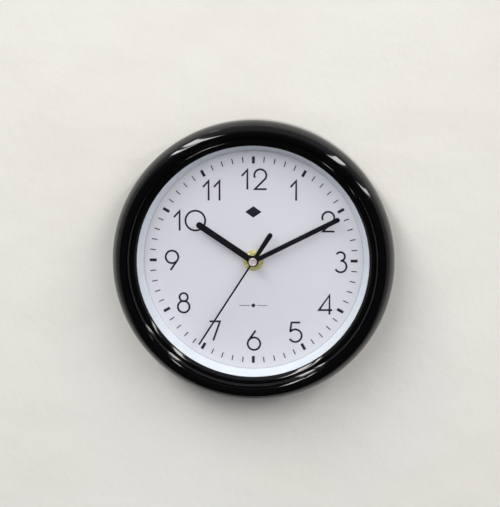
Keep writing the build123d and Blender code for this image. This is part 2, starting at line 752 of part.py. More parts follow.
def second_cap():
    """The bright dished cap and its grip tube, pressed on the end of the long arbor."""
    rear = SECOND_REAR + SECOND_THICK
    rim = 3.25
    crown = turned(
        (0, rear),
        (rim - 0.15, rear),
        (rim, rear + 0.25),
        (rim, rear + 0.9),
        ((rim - 0.2, rear + 1.35), (rim - 0.65, rear + 1.5)),
        ((rim - 1.0, rear + 1.35), (rim - 1.3, rear + 1.0)),
        (0.75, rear + 0.9),
        ((0.4, rear + 0.9 + dome_height(0.75, 0.4, 0.4)), (0, rear + 1.3)),
    )
    grip = disc(ARBOR_R + 0.5, SECOND_REAR - 0.6, rear)
    return crown + grip - disc(ARBOR_R + FIT, 0, SECOND_REAR + 1.0)


# ---------------------------------------------------------------- assembly
def train_angles():
    """Tooth angles that leave every pair in mesh at rest."""
    angles = {}
    angles["intermediate_pinion"] = mesh_angle(60, 0, CENTRE_AT, 10, INTERMEDIATE_AT)
    angles["rotor_pinion"] = mesh_angle(40, 0, INTERMEDIATE_AT, 8, ROTOR_AT)
    angles["third_wheel"] = mesh_angle(8, 0, CENTRE_AT, 60, THIRD_AT)
    angles["centre_wheel"] = mesh_angle(8, 0, THIRD_AT, 64, CENTRE_AT)
    angles["motion_wheel"] = mesh_angle(10, 0, CENTRE_AT, 30, MOTION_AT)
    angles["setting_arbor"] = mesh_angle(30, angles["motion_wheel"], MOTION_AT, 10, SETTING_AT)
    angles["hour_wheel"] = mesh_angle(8, 0, MOTION_AT, 32, CENTRE_AT)
    return angles


def main():
    os.makedirs("parts", exist_ok=True)
    angles = train_angles()
    pieces = {
        "front_bezel": front_bezel(),
        "lens": lens(),
        "rehaut_ring": rehaut_ring(),
        "dial_sheet": tube(INSERT_R - 0.4, STEM_R + 0.2, PLATE_FRONT, DIAL_FRONT),
        "dial_plate": dial_plate(),
        "back_shell": back_shell(),
        "case_screws": case_screws(),
        "movement_case": movement_case(),
        "movement_cover": movement_cover(),
        "threaded_stem": threaded_stem(),
        "rubber_washer": rubber_washer(),
        "brass_washer": brass_washer(),
        "hex_nut": hex_nut(),
        "train_bridge": train_bridge(),
        "circuit_board": circuit_board(),
        "timing_chip": timing_chip(),
        "quartz_crystal": quartz_crystal(),
        "stator": stator(),
        "coil_core": coil_core(),
        "coil_bobbin": coil_bobbin(),
        "coil_winding": coil_winding(),
        "positive_contact": positive_contact(),
        "negative_contact": negative_contact(),
        "battery_can": battery_can(),
        "battery_button": battery_button(),
        "rotor_magnet": rotor_magnet(),
        "rotor_pinion": rotor_pinion(angles["rotor_pinion"]),
        "intermediate_wheel": intermediate_wheel(0),
        "intermediate_pinion": intermediate_pinion(angles["intermediate_pinion"]),
        "second_wheel": second_wheel(0),
        "second_arbor": second_arbor(0),
        "third_wheel": third_wheel(angles["third_wheel"]),
        "third_pinion": third_pinion(0),
        "centre_wheel": centre_wheel(angles["centre_wheel"]),
        "cannon_pinion": cannon_pinion(0),
        "motion_wheel": motion_wheel(angles["motion_wheel"], 0),
        "hour_wheel": hour_wheel(angles["hour_wheel"]),
        "setting_arbor": setting_arbor(angles["setting_arbor"]),
        "setting_knob": setting_knob(),
        "hour_hand": hour_hand(),
        "hour_bush": hour_bush(),
        "minute_hand": minute_hand(),
        "minute_bush": minute_bush(),
        "second_hand": second_hand(),
        "second_cap": second_cap(),
    }
    for name, shape in pieces.items():
        save(name, shape)
    print(len(pieces), "pieces")


main()
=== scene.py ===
"""Round wall clock: its printed dial, finishes, wall, light and camera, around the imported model.

Every length here is in millimetres, and the scene is in metres. Twelve o'clock is +Z, the front faces
-Y and the wall is the plane Y = 0.
"""

import json
from math import acos, atan2, cos, degrees, hypot, pi, radians, sin

import bmesh
import bpy
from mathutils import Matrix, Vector


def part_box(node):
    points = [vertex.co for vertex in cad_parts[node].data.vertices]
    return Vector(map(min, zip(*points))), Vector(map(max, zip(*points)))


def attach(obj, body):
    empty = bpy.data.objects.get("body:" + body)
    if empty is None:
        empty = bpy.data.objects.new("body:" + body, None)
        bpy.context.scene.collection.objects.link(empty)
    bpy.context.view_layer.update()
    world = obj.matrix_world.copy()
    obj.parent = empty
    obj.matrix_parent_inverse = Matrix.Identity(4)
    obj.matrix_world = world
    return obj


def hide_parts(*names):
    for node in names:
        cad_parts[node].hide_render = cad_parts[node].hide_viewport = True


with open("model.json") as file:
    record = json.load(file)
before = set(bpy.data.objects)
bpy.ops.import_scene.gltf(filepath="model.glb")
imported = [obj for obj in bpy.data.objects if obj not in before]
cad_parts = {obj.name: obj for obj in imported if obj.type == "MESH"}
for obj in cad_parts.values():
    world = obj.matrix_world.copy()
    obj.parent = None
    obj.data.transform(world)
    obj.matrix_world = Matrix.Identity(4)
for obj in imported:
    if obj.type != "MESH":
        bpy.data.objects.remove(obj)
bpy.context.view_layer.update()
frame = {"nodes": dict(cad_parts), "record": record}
nodes = frame["nodes"]

MM = 0.001
DIAL_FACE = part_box("dial_sheet")[0].y
CLOCK_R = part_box("front_bezel")[1].x

# ---------------------------------------------------------------- the printed dial, and a grey line of painted shade at its edge
INK_HEIGHT = 0.03
# painted shade: a thin grey line where the white ring meets the dial, drawn like print
GAP_SHADE_R = 87.7
GAP_SHADE_WIDTH = 0.3
LOZENGE = (39.0, 6.6, 4.6)       # height on the dial, half width and half height
RULE_DIAMOND = (-36.4, 1.9, 1.9)
RULE_ENDS = (3.0, 11.3)          # where each half of the rule starts and ends
RULE_WIDTH = 0.45
MARK_OUTER_R = 83.2
MINUTE_MARK = (4.5, 0.85)        # length and width
HOUR_MARK = (5.6, 2.3)
STROKE = 1.55                    # width of the numbers' strokes
HALF = 7.8                       # from a number's middle to its highest stroke's centre line
ROUND_STEP = 6                   # degrees between the points of a printed arc

# each digit's shape, and the middle of the place where it stands
DIGITS = (
    ("one", -7.0, 64.7),
    ("two", 5.5, 65.0),
    ("one", 31.8, 56.0),
    ("two", 59.6, 31.4),
    ("three", 69.7, -0.9),
    ("four", 57.6, -35.5),
    ("five", 33.7, -57.8),
    ("six", 0.5, -64.6),
    ("seven", -31.0, -57.4),
    ("eight", -56.1, -34.7),
    ("nine", -65.3, -0.5),
    ("one", -61.2, 31.6),
    ("zero", -46.4, 31.8),
    ("one", -37.9, 55.8),
    ("one", -29.2, 55.8),
)


def arc(x, z, radius, first, last, step=ROUND_STEP):
    """Points along an arc, from one anticlockwise angle to another."""
    count = max(2, round(abs(last - first) / step))
    turns = [radians(first + (last - first) * number / count) for number in range(count + 1)]
    return [(x + radius * cos(turn), z + radius * sin(turn)) for turn in turns]


def touch_angle(x, z, radius, point):
    """The angle, on a circle, of the left-hand line that touches it from a point above."""
    away = hypot(point[0] - x, point[1] - z)
    return atan2(point[1] - z, point[0] - x) / pi * 180 + acos(radius / away) / pi * 180


def turned_over(strokes):
    return [[(-x, -z) for x, z in stroke] for stroke in strokes]


def one():
    return [[(-2.3, HALF - 4.9), (2.2, HALF), (2.2, -HALF)]]


def two():
    bowl = arc(0, HALF - 4.6, 4.75, 205, -46)
    return [bowl + [(-4.3, -HALF), (5.0, -HALF)]]


def three():
    return [arc(-0.2, HALF - 3.3, 3.5, 152, -90), arc(0, 4.6 - HALF - 0.3, 4.65, 90, -152)]


def four():
    return [[(5.6, -4.2), (-5.0, -4.2), (3.4, HALF), (3.4, -HALF)]]


def five():
    bowl = arc(0, 5.1 - HALF - 0.2, 5.1, 144, -150)
    return [[(3.9, HALF), (-3.1, HALF), bowl[0]], bowl]


def six():
    top = (1.3, HALF)
    x, z, radius = 0, 5.05 - HALF - 0.2, 5.05
    touch = touch_angle(x, z, radius, top)
    return [[top] + arc(x, z, radius, touch, touch + 360)]


def seven():
    return [[(-4.3, HALF), (4.1, HALF), (-1.3, -HALF)]]


def eight():
    return [arc(0, HALF - 3.2, 3.3, -90, 270), arc(0, 4.6 - HALF, 4.7, 90, 450)]


def nine():
    return turned_over(six())


def zero():
    return [arc(0, 0, HALF + 0.1, 90, 450)]


SHAPES = {
    "zero": zero,
    "one": one,
    "two": two,
    "three": three,
    "four": four,
    "five": five,
    "six": six,
    "seven": seven,
    "eight": eight,
    "nine": nine,
}


def raised(mesh, left, right):
    """A thin raised strip of ink between two rows of (x, z) points."""
    rows = []
    for points in (left, right):
        for height in (0.0, INK_HEIGHT):
            y = DIAL_FACE - height * MM
            rows.append([mesh.verts.new((x * MM, y, z * MM)) for x, z in points])
    left_foot, left_top, right_foot, right_top = rows
    for number in range(len(left) - 1):
        after = number + 1
        mesh.faces.new((left_top[number], left_top[after], right_top[after], right_top[number]))
        mesh.faces.new((left_foot[number], left_foot[after], left_top[after], left_top[number]))
        mesh.faces.new((right_top[number], right_top[after], right_foot[after], right_foot[number]))
    for end in (0, -1):
        mesh.faces.new((left_foot[end], left_top[end], right_top[end], right_foot[end]))


def stroke(mesh, points, width):
    """A line of ink of one width, with pointed corners that stop at twice the width."""
    points = [Vector(point) for point in points]
    ways = [(after - before).normalized() for before, after in zip(points, points[1:])]
    closed = (points[0] - points[-1]).length < 1e-6
    left, right = [], []
    for number, point in enumerate(points):
        before = ways[number - 1] if number or closed else ways[0]
        after = ways[number] if number < len(ways) else (ways[0] if closed else ways[-1])
        across = Vector((-before.y - after.y, before.x + after.x))
        across.normalize()
        lean = max(across.dot(Vector((-after.y, after.x))), 0.42)
        offset = across * (width / 2 / lean)
        left.append(tuple(point + offset))
        right.append(tuple(point - offset))
    raised(mesh, left, right)


def fixed_piece(name, shape, finish):
    """A piece of the root body, made from a finished bmesh."""
    bmesh.ops.recalc_face_normals(shape, faces=shape.faces)
    mesh = bpy.data.meshes.new(name)
    shape.to_mesh(mesh)
    shape.free()
    mesh.materials.append(finish)
    piece = bpy.data.objects.new(name, mesh)
    bpy.context.scene.collection.objects.link(piece)
    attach(piece, "root")
    return piece


def printed(name, draw, finish):
    """A piece on the dial, print or painted shade: draw() adds its ink to an empty mesh."""
    ink = bmesh.new()
    draw(ink)
    fixed_piece(name, ink, finish)


def mark(mesh, minute, size):
    length, width = size
    turn = radians(6 * minute)
    ends = [(radius * sin(turn), radius * cos(turn)) for radius in (MARK_OUTER_R - length, MARK_OUTER_R)]
    stroke(mesh, ends, width)


def minute_marks(mesh):
    for minute in range(60):
        if minute % 5:
            mark(mesh, minute, MINUTE_MARK)


def hour_marks(mesh):
    for hour in range(12):
        mark(mesh, 5 * hour, HOUR_MARK)


def numbers(mesh):
    for shape, x, z in DIGITS:
        for line in SHAPES[shape]():
            stroke(mesh, [(x + px, z + pz) for px, pz in line], STROKE)


def diamond(mesh, height, half_width, half_height):
    """A solid diamond on the dial's upright middle line."""
    left, right = (-half_width, height), (half_width, height)
    upper = [left, (0.0, height + half_height), right]
    lower = [left, (0.0, height - half_height), right]
    raised(mesh, upper, lower)


def lozenge(mesh):
    """A plain solid lozenge under the twelve."""
    diamond(mesh, *LOZENGE)


def rule(mesh):
    """A fine rule with a small diamond in its middle, above the six."""
    height = RULE_DIAMOND[0]
    inner, outer = RULE_ENDS
    for side in (-1, 1):
        stroke(mesh, [(side * inner, height), (side * outer, height)], RULE_WIDTH)
    diamond(mesh, *RULE_DIAMOND)


# painted shade, not print: the grey line in the gap where the white ring meets the dial
def gap_shade_line(mesh):
    stroke(mesh, arc(0, 0, GAP_SHADE_R, 0, 360), GAP_SHADE_WIDTH)


# ---------------------------------------------------------------- the moulded ring
# points and centres in the ring's section are (radius, height above the wall)
DEPTH = -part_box("front_bezel")[0].y / MM
OUTER_R = CLOCK_R / MM
LENS_THICK = 1.6
LIP_R = 92.2
LIP_EDGE = 0.5
SEAT_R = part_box("lens")[1].x / MM + 0.3
SEAT = -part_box("rehaut_ring")[0].y / MM + LENS_THICK
SIDE_WALL = 2.2
RIM_EDGE = 0.6                   # rounding of the ring's rear edge
RIB_R = SEAT_R + 2.0             # outside of the wall round the lens
RIB_REAR = 17.6
RIB_FRONT = 31.2
ROLL_R = 7.0
ROLL = (102.5, DEPTH - ROLL_R)
ROLL_END = 110
SHOULDER_TURN = 38               # how far the shoulder curves in from the side wall, in degrees
TURN_COS = cos(radians(SHOULDER_TURN))
TURN_SIN = sin(radians(SHOULDER_TURN))
SHOULDER_R = (OUTER_R - ROLL[0] - ROLL_R * TURN_COS) / (1 - TURN_COS)
SHOULDER_IN = ROLL_R - SHOULDER_R
SHOULDER = (ROLL[0] + SHOULDER_IN * TURN_COS, ROLL[1] + SHOULDER_IN * TURN_SIN)
GROOVE = 0.3                     # half width and depth of the line between roll and shoulder
COVE = (96.25, 37.25)
COVE_R = 3.65
COVE_TURNS = (0.8, -66.6)
BEAD = (96.3, 29.65)
BEAD_R = 4.8
BEAD_END = 139
BEAD_EDGE_R = 1.5                # the bead is tighter on its outside
BEAD_EDGE = (BEAD[0], BEAD[1] + BEAD_R - BEAD_EDGE_R)
FRONT_HOLLOW = [(99.8, 33.6), (101.5, 36.6), (103.2, 37.3), (105.3, 36.0)]

FINE_STEP = 1.5                  # degrees between the points of the curves that show
EDGE_STEP = 3
HIDDEN_STEP = 4
RIM_STEP = 15
AROUND = 360                     # points round the ring
BOSS_AROUND = 48
NEAR = 1e-3                      # two points this close, in mm, are one

BOSS_COUNT = 4
BOSS_CIRCLE_R = 104.8
BOSS = ((3.6, 4.0), (3.6, 36.2), (1.51, 36.2), (1.51, 4.0))


def groove_turn(radius):
    """The turn, in degrees, that half the groove takes up on a curve."""
    return degrees(GROOVE / radius)


def ring_runs():
    """The ring's section as smooth runs of points, which meet in corners."""
    inner_r = OUTER_R - SIDE_WALL
    rim = (OUTER_R - RIM_EDGE, RIM_EDGE)
    groove = SHOULDER_R - GROOVE
    shoulder_end = SHOULDER_TURN - groove_turn(SHOULDER_R)
    roll_start = SHOULDER_TURN + groove_turn(ROLL_R)
    roll = arc(*ROLL, ROLL_R, roll_start, ROLL_END, FINE_STEP)
    return (
        [(inner_r, 0), (rim[0], 0)],
        arc(*rim, RIM_EDGE, -90, 0, RIM_STEP) + arc(*SHOULDER, SHOULDER_R, 0, shoulder_end, FINE_STEP),
        [(SHOULDER[0] + groove * TURN_COS, SHOULDER[1] + groove * TURN_SIN)],
        roll,
        roll[-1:] + arc(*COVE, COVE_R, *COVE_TURNS, FINE_STEP),
        arc(*BEAD_EDGE, BEAD_EDGE_R, 45, 90, EDGE_STEP) + arc(*BEAD, BEAD_R, 90, BEAD_END, FINE_STEP)[1:],
        [(LIP_R, SEAT + LIP_EDGE), (LIP_R, SEAT)],
        [(SEAT_R, SEAT), (SEAT_R, RIB_REAR)],
        [(RIB_R, RIB_REAR), (RIB_R, RIB_FRONT)],
        FRONT_HOLLOW,
        arc(*SHOULDER, SHOULDER_R - SIDE_WALL, SHOULDER_TURN, 0, HIDDEN_STEP),
    )


def joined(runs):
    """The runs' points in one list, and the numbers of those where two runs meet."""
    points = []
    corners = set()
    for run in runs:
        meets = points and hypot(run[0][0] - points[-1][0], run[0][1] - points[-1][1]) < NEAR
        points.extend(run[1:] if meets else run)
        corners.update((len(points) - len(run), len(points) - 1))
    return points, corners


def lathe(mesh, runs, around, centre=(0, 0)):
    """Adds a closed body turned about a centre from its section's runs, with sharp corners."""
    points, corners = joined(runs)
    turns = [2 * pi * number / around for number in range(around)]
    rows = []
    for radius, height in points:
        spots = [(centre[0] + radius * cos(turn), centre[1] + radius * sin(turn)) for turn in turns]
        rows.append([mesh.verts.new((x * MM, -height * MM, z * MM)) for x, z in spots])
    for number, row in enumerate(rows):
        above = rows[(number + 1) % len(rows)]
        for near in range(around):
            far = (near + 1) % around
            mesh.faces.new((row[near], row[far], above[far], above[near])).smooth = True
            mesh.edges.get((row[near], row[far])).smooth = number not in corners


def mould_ring():
    """The black ring, with the bosses for its screws inside."""
    ring = bmesh.new()
    lathe(ring, ring_runs(), AROUND)
    for number in range(BOSS_COUNT):
        turn = radians(45 + 360 / BOSS_COUNT * number)
        centre = (BOSS_CIRCLE_R * cos(turn), BOSS_CIRCLE_R * sin(turn))
        lathe(ring, [[corner] for corner in BOSS], BOSS_AROUND, centre)
    piece = fixed_piece("moulded_ring", ring, FINISHES["black_gloss"])
    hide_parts("front_bezel")


# ---------------------------------------------------------------- finishes
def blank(name, colour, rough, metal=0.0, **inputs):
    """A new material with a Principled shader, and its node tree."""
    material = bpy.data.materials.new(name)
    material.use_nodes = True
    shader = material.node_tree.nodes["Principled BSDF"]
    shader.inputs["Base Color"].default_value = (*colour, 1)
    shader.inputs["Roughness"].default_value = rough
    shader.inputs["Metallic"].default_value = metal
    for key, value in inputs.items():
        shader.inputs[key.replace("_", " ")].default_value = value
    return material


def shader_of(material):
    return material.node_tree.nodes["Principled BSDF"]


def place(material):
    """The object's own coordinates, in metres."""
    return material.node_tree.nodes.new("ShaderNodeTexCoord").outputs["Object"]


def noise(material, size, detail):
    """Soft noise whose patches are about size millimetres across."""
    tree = material.node_tree
    texture = tree.nodes.new("ShaderNodeTexNoise")
    texture.inputs["Scale"].default_value = 1 / (size * MM)
    texture.inputs["Detail"].default_value = detail
    tree.links.new(place(material), texture.inputs["Vector"])
    return texture.outputs["Fac"]


def rings(material, pitch, ragged=1.0):
    """Turning marks round the hand axis, pitch millimetres apart."""
    tree = material.node_tree
    texture = tree.nodes.new("ShaderNodeTexWave")
    texture.wave_type = "RINGS"
    texture.rings_direction = "Y"
    texture.inputs["Scale"].default_value = pi / 10 / (pitch * MM)
    texture.inputs["Distortion"].default_value = ragged
    texture.inputs["Detail Scale"].default_value = 3
    tree.links.new(place(material), texture.inputs["Vector"])
    return texture.outputs["Fac"]


def bands(material, pitch, direction, ragged):
    """Straight ridges across the piece, pitch millimetres apart."""
    tree = material.node_tree
    texture = tree.nodes.new("ShaderNodeTexWave")
    texture.bands_direction = direction
    texture.inputs["Scale"].default_value = pi / 10 / (pitch * MM)
    texture.inputs["Distortion"].default_value = ragged
    tree.links.new(place(material), texture.inputs["Vector"])
    return texture.outputs["Fac"]


def spread(material, pattern, low, high, start=0.3, end=0.7):
    """The pattern's middle values spread from low to high."""
    tree = material.node_tree
    ranger = tree.nodes.new("ShaderNodeMapRange")
    ranger.inputs["From Min"].default_value = start
    ranger.inputs["From Max"].default_value = end
    ranger.inputs["To Min"].default_value = low
    ranger.inputs["To Max"].default_value = high
    tree.links.new(pattern, ranger.inputs["Value"])
    return ranger.outputs["Result"]


def vary_rough(material, pattern, low, high):
    result = spread(material, pattern, low, high)
    material.node_tree.links.new(result, shader_of(material).inputs["Roughness"])


def vary_colour(material, pattern, stops):
    """Colour the surface by a pattern, through (position, colour) stops."""
    tree = material.node_tree
    ramp = tree.nodes.new("ShaderNodeValToRGB")
    elements = ramp.color_ramp.elements
    while len(elements) < len(stops):
        elements.new(0.5)
    for element, (position, colour) in zip(elements, stops):
        element.position = position
        element.color = (*colour, 1)
    tree.links.new(pattern, ramp.inputs["Fac"])
    tree.links.new(ramp.outputs["Color"], shader_of(material).inputs["Base Color"])
    return ramp


def bump(material, pattern, depth):
    """Raise the surface by a pattern, depth millimetres high, over any earlier bump."""
    tree = material.node_tree
    node = tree.nodes.new("ShaderNodeBump")
    node.inputs["Distance"].default_value = depth * MM
    normal = shader_of(material).inputs["Normal"]
    if normal.links:
        tree.links.new(normal.links[0].from_socket, node.inputs["Normal"])
    tree.links.new(pattern, node.inputs["Height"])
    tree.links.new(node.outputs["Normal"], normal)


def black_gloss():
    """Glossy black moulding: a slow ripple, a fine skin and a little dust."""
    material = blank("black_gloss", (0.002, 0.002, 0.0025), 0.06, IOR=1.5)
    clean = (0.0016, 0.0016, 0.002)
    dusty = (0.012, 0.0118, 0.011)
    vary_colour(material, noise(material, 0.5, 6), ((0.0, clean), (0.66, clean), (0.8, dusty)))
    vary_rough(material, noise(material, 9, 5), 0.04, 0.08)
    bump(material, noise(material, 18, 1), 0.005)
    bump(material, noise(material, 1.6, 2), 0.0002)
    return material


LENS_GLOSS = 0.012               # the lens's gloss where it is seen straight on


def clear_lens():
    """Clear moulded plastic: see-through, with a gloss that grows towards its edges."""
    material = bpy.data.materials.new("clear_lens")
    material.use_nodes = True
    tree = material.node_tree
    tree.nodes.clear()
    output = tree.nodes.new("ShaderNodeOutputMaterial")
    mix = tree.nodes.new("ShaderNodeMixShader")
    through = tree.nodes.new("ShaderNodeBsdfTransparent")
    gloss = tree.nodes.new("ShaderNodeBsdfGlossy")
    gloss.inputs["Roughness"].default_value = 0.03
    facing = tree.nodes.new("ShaderNodeLayerWeight")
    facing.inputs["Blend"].default_value = 0.5
    power = tree.nodes.new("ShaderNodeMath")
    power.operation = "POWER"
    power.inputs[1].default_value = 5
    share = tree.nodes.new("ShaderNodeMapRange")
    share.inputs["To Min"].default_value = LENS_GLOSS
    tree.links.new(facing.outputs["Facing"], power.inputs[0])
    tree.links.new(power.outputs["Value"], share.inputs["Value"])
    tree.links.new(share.outputs["Result"], mix.inputs["Fac"])
    tree.links.new(through.outputs["BSDF"], mix.inputs[1])
    tree.links.new(gloss.outputs["BSDF"], mix.inputs[2])
    tree.links.new(mix.outputs["Shader"], output.inputs["Surface"])
    return material


def white_plastic():
    material = blank("white_plastic", (0.78, 0.83, 0.9), 0.35, IOR=1.49)
    vary_colour(material, noise(material, 12, 4), ((0.3, (0.765, 0.815, 0.885)), (0.7, (0.8, 0.85, 0.915))))
    vary_rough(material, noise(material, 3, 4), 0.3, 0.42)
    bump(material, rings(material, 0.5, 2), 0.004)
    return material


def dial_print():
    """A printed sheet: a faint grain, and a slow change of tone."""
    material = blank("dial_print", (0.72, 0.725, 0.79), 0.42, IOR=1.5)
    tone = noise(material, 45, 3)
    vary_colour(material, tone, ((0.3, (0.70, 0.71, 0.775)), (0.7, (0.735, 0.735, 0.80))))
    vary_rough(material, noise(material, 1.5, 5), 0.36, 0.5)
    bump(material, noise(material, 0.35, 4), 0.004)
    return material


def dial_ink(name="dial_ink", colour=(0.006, 0.006, 0.012)):
    material = blank(name, colour, 0.38, IOR=1.5)
    lighter = tuple(value * 1.8 for value in colour)
    vary_colour(material, noise(material, 0.4, 5), ((0.35, colour), (0.75, lighter)))
    vary_rough(material, noise(material, 0.6, 3), 0.3, 0.48)
    bump(material, noise(material, 0.25, 3), 0.003)
    return material


def textured_black(name, colour, grain, depth):
    """Moulded plastic with an eroded grain."""
    material = blank(name, colour, 0.55, IOR=1.5)
    worn = tuple(value * 1.5 for value in colour)
    vary_colour(material, noise(material, 16, 8), ((0.3, colour), (0.8, worn)))
    vary_rough(material, noise(material, grain * 2, 4), 0.46, 0.64)
    bump(material, noise(material, grain, 5), depth)
    return material


def turned_metal(name, colour, rough, pitch, tarnish, metal=0.8):
    """Turned or drawn metal with fine marks and a little tarnish, which is what it lacks of metal."""
    material = blank(name, colour, rough, metal=metal)
    dull = tuple(value * tarnish for value in colour)
    vary_colour(material, noise(material, 2.2, 6), ((0.35, dull), (0.65, colour)))
    vary_rough(material, noise(material, 0.8, 5), rough * 0.75, rough * 1.35)
    bump(material, rings(material, pitch, 1.5), 0.004)
    return material


def rubber():
    material = blank("rubber", (0.02, 0.02, 0.02), 0.8)
    dusty = (0.05, 0.048, 0.045)
    vary_colour(material, noise(material, 1.5, 6), ((0.3, (0.016, 0.016, 0.016)), (0.75, dusty)))
    vary_rough(material, noise(material, 0.5, 4), 0.7, 0.9)
    bump(material, noise(material, 0.3, 4), 0.03)
    return material


def nylon():
    """Moulded nylon: milky, with a fine skin."""
    milky = {"Subsurface_Weight": 0.15, "Subsurface_Scale": 0.001}
    material = blank("nylon", (0.82, 0.81, 0.76), 0.42, IOR=1.53, **milky)
    vary_colour(material, noise(material, 2.5, 4), ((0.3, (0.78, 0.77, 0.71)), (0.7, (0.86, 0.85, 0.81))))
    vary_rough(material, noise(material, 0.6, 4), 0.34, 0.5)
    bump(material, noise(material, 0.25, 4), 0.004)
    return material


def board():
    """Resin board with the weave of its paper and fine copper lines under the varnish."""
    material = blank("board", (0.32, 0.2, 0.07), 0.4)
    stops = ((0.0, (0.24, 0.14, 0.05)), (0.72, (0.34, 0.21, 0.08)), (0.8, (0.6, 0.36, 0.16)))
    vary_colour(material, bands(material, 2.4, "X", 3.0), stops)
    vary_rough(material, noise(material, 1, 4), 0.3, 0.5)
    bump(material, bands(material, 0.4, "Z", 1.0), 0.008)
    return material


def copper():
    """Fine enamelled wire, wound turn by turn along the coil, with painted shade in the grooves between the
    turns.
    """
    material = blank("copper", (0.7, 0.25, 0.1), 0.3, metal=1.0)
    wire = bands(material, 0.22, "X", 0.15)
    # darker in the valleys of the same pattern that raises the turns: painted shade between them
    vary_colour(material, wire, ((0.1, (0.28, 0.08, 0.03)), (0.6, (0.78, 0.3, 0.12))))
    vary_rough(material, noise(material, 0.8, 4), 0.22, 0.4)
    bump(material, wire, 0.06)
    return material


def battery_sleeve():
    """A printed foil sleeve with plain bands: dark along most of the cell, and a copper-coloured end."""
    material = blank("battery_sleeve", (0.02, 0.02, 0.025), 0.28)
    low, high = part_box("battery_can")
    tree = material.node_tree
    apart = tree.nodes.new("ShaderNodeSeparateXYZ")
    tree.links.new(place(material), apart.inputs["Vector"])
    along = spread(material, apart.outputs["X"], 0.0, 1.0, low.x, high.x)
    stops = (
        (0.0, (0.75, 0.74, 0.72)),
        (0.02, (0.03, 0.03, 0.035)),
        (0.7, (0.8, 0.8, 0.78)),
        (0.72, (0.62, 0.25, 0.07)),
        (0.98, (0.75, 0.74, 0.72)),
    )
    ramp = vary_colour(material, along, stops)
    ramp.color_ramp.interpolation = "CONSTANT"
    vary_rough(material, noise(material, 1.8, 5), 0.2, 0.36)
    bump(material, noise(material, 4, 3), 0.02)
    return material


def magnet():
    material = blank("magnet", (0.07, 0.07, 0.075), 0.45, metal=0.7)
    vary_colour(material, noise(material, 0.35, 6), ((0.3, (0.05, 0.05, 0.055)), (0.7, (0.12, 0.12, 0.125))))
    vary_rough(material, noise(material, 0.5, 4), 0.36, 0.56)
    bump(material, noise(material, 0.2, 5), 0.01)
    return material


def hand_black():
    """Satin black enamel on thin sheet metal."""
    material = blank("hand_black", (0.012, 0.012, 0.014), 0.34, IOR=1.3)
    dark, light = (0.004, 0.004, 0.006), (0.009, 0.009, 0.012)
    vary_colour(material, noise(material, 5, 5), ((0.3, dark), (0.75, light)))
    vary_rough(material, noise(material, 2, 5), 0.28, 0.42)
    bump(material, noise(material, 0.5, 4), 0.003)
    return material


FINISHES = {
    "black_gloss": black_gloss(),
    "clear_lens": clear_lens(),
    "white_plastic": white_plastic(),
    "dial_print": dial_print(),
    "black_matte": textured_black("black_matte", (0.016, 0.016, 0.017), 0.45, 0.05),
    "movement_black": textured_black("movement_black", (0.02, 0.02, 0.022), 0.25, 0.02),
    "steel": turned_metal("steel", (0.6, 0.59, 0.57), 0.3, 0.3, 0.8),
    "brass": turned_metal("brass", (1.0, 0.93, 0.46), 0.24, 0.25, 0.62, 0.25),
    "copper": copper(),
    "rubber": rubber(),
    "nylon": nylon(),
    "board": board(),
    "magnet": magnet(),
    "battery_sleeve": battery_sleeve(),
    "hand_black": hand_black(),
    "cap_metal": turned_metal("cap_metal", (0.78, 0.71, 0.69), 0.3, 0.2, 0.8, 0.4),
}


def dress_nodes():
    """Give each CAD node the finish of its slot in the record."""
    for part in frame["record"]["subparts"]:
        piece = nodes[part["node"]]
        piece.data.materials.clear()
        piece.data.materials.append(FINISHES[part["material_slot"]])


def print_dial_and_edge_shade():
    ink = dial_ink()
    printed("minute_marks", minute_marks, ink)
    printed("hour_marks", hour_marks, ink)
    printed("numbers", numbers, ink)
    printed("dial_lozenge", lozenge, ink)
    printed("dial_rule", rule, ink)
    # the blue-grey line at the dial's edge is painted shade in the gap under the white ring
    printed("dial_gap_shade_line", gap_shade_line, dial_ink("gap_shade_ink", (0.3, 0.33, 0.4)))


# ---------------------------------------------------------------- wall, light and camera
# each panel's name, its clock angle in degrees and how far out it is, how far before the wall it starts
# and ends, its width and its power
PANELS = (
    ("panel_left", -33, 1.7, 0.5, 6.5, 0.24, 62),
    ("panel_far_left", -42, 1.7, 0.7, 5.0, 0.1, 20),
    ("panel_right", 43, 1.9, 0.6, 5.5, 0.22, 44),
    ("panel_far_right", 63, 2.4, 0.8, 5.0, 0.16, 24),
)
# each soft light's name, place, diameter, power and colour
SOFT_LIGHTS = (
    ("ceiling", (-0.3, -0.65, 1.9), 1.6, 9, (1.0, 0.995, 0.97)),
    ("window", (-1.6, -2.4, 0.8), 2.4, 3, (0.94, 0.97, 1.0)),
    ("bounce", (0.5, -2.4, -0.6), 2.4, 10, (0.97, 0.98, 1.0)),
    ("rear_left", (1.3, 1.6, 1.1), 1.4, 26, (1.0, 0.99, 0.97)),
    ("rear_right", (-1.2, 1.9, 0.3), 1.4, 16, (0.95, 0.97, 1.0)),
)
PANEL_COLOUR = (1.0, 0.985, 0.96)
ROOM_COLOUR = (0.93, 0.95, 1.0)
BACKDROP = 0.72                      # how bright the room is where the camera sees it
WALL_POINTS = 96
WALL_EDGES = (0.97 * CLOCK_R, 3.5)   # inner and outer radius, in metres
CAMERA_AWAY = 1.25
CAMERA_UP = radians(7.2)
CAMERA_RIGHT = radians(2.85)
AIM = Vector((-0.0027, DIAL_FACE, 0.0056))
VIEW_HEIGHT = 0.4052            # metres that the picture's height takes in at the dial
SENSOR = 24.0


